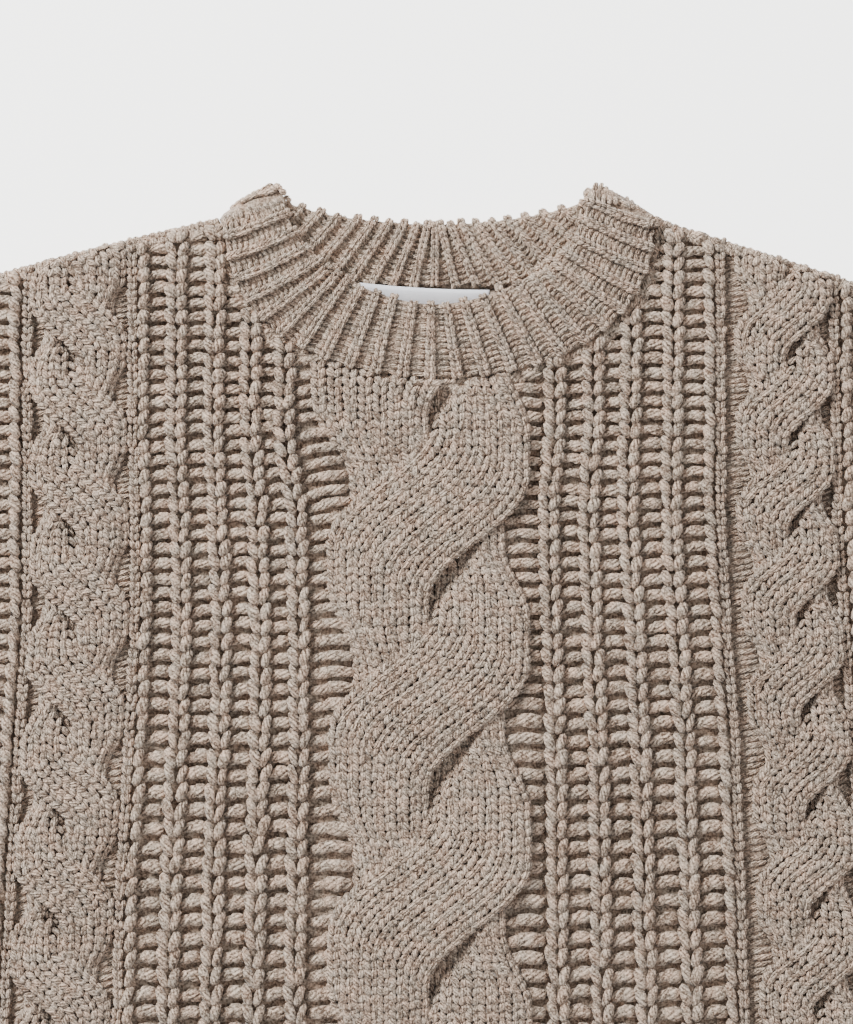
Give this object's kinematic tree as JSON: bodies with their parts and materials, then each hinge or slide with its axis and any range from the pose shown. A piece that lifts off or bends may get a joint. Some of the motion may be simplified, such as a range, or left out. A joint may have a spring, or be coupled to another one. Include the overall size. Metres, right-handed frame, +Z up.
{
  "type": "sweater dress",
  "caption": "Chunky cable-knit sweater dress with a ribbed mock neck, drop shoulders and long sleeves, laid flat on its back with the front up.",
  "frame": {"origin": "centre of the garment's outline, on the surface that it lies on", "axes": "+Z up from that surface towards the front of the dress, +Y towards the neck, +X to the right as seen from above"},
  "size_m": [1.1816, 0.8974, 0.0189],
  "materials": {
    "cable_knit": "soft heathered taupe wool yarn, matt",
    "rib_knit": "soft heathered taupe wool yarn, matt",
    "label_satin": "white woven satin, slight sheen"
  },
  "bodies": {
    "root": {"front_panel": "cable_knit", "back_panel": "cable_knit", "sleeve_left": "cable_knit", "sleeve_right": "cable_knit", "cuff_left": "rib_knit", "cuff_right": "rib_knit", "neckband": "rib_knit", "front_hem_rib": "rib_knit", "back_hem_rib": "rib_knit", "neck_label": "label_satin"}
  },
  "joints": []
}
